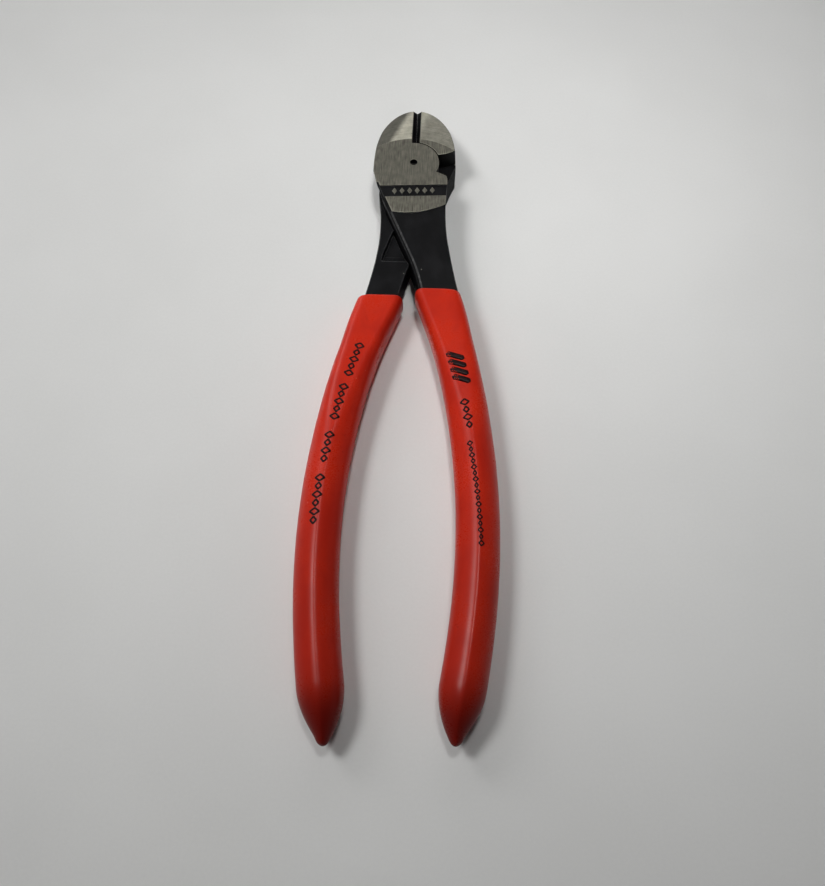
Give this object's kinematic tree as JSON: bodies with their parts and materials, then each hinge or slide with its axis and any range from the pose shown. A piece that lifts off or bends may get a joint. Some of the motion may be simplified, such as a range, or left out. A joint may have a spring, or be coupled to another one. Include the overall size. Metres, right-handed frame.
{
  "type": "diagonal cutting pliers",
  "caption": "High-leverage diagonal cutters: forged levers crossing in a lap joint on a pivot axle, ground jaw faces with a slot along the cutting line, and dip-coated bowed grips.",
  "frame": {"origin": "on the pivot axis, in the plane of the flat back of the head, which is also the plane the cutters lie on", "axes": "+Y from the pivot towards the jaw tips, +Z from the back of the head to its front face, +X to the right seen from the front"},
  "size_m": [0.0533, 0.2006, 0.012],
  "materials": {
    "forged_steel_front": "black oxide with brushed ground faces",
    "forged_steel_rear": "black oxide with brushed ground faces",
    "axle_steel": "ground flush",
    "dipped_vinyl": "satin"
  },
  "bodies": {
    "rear_half": {"rear_lever": "forged_steel_rear", "rear_sleeve": "dipped_vinyl"},
    "front_half": {"front_lever": "forged_steel_front", "pivot_axle": "axle_steel", "front_sleeve": "dipped_vinyl"}
  },
  "joints": [
    {"name": "jaw_pivot", "type": "hinge", "parent": "rear_half", "child": "front_half", "pos_m": [0, 0, 0.006], "axis": [0, 0, 1], "range_deg": [0, 46]}
  ]
}
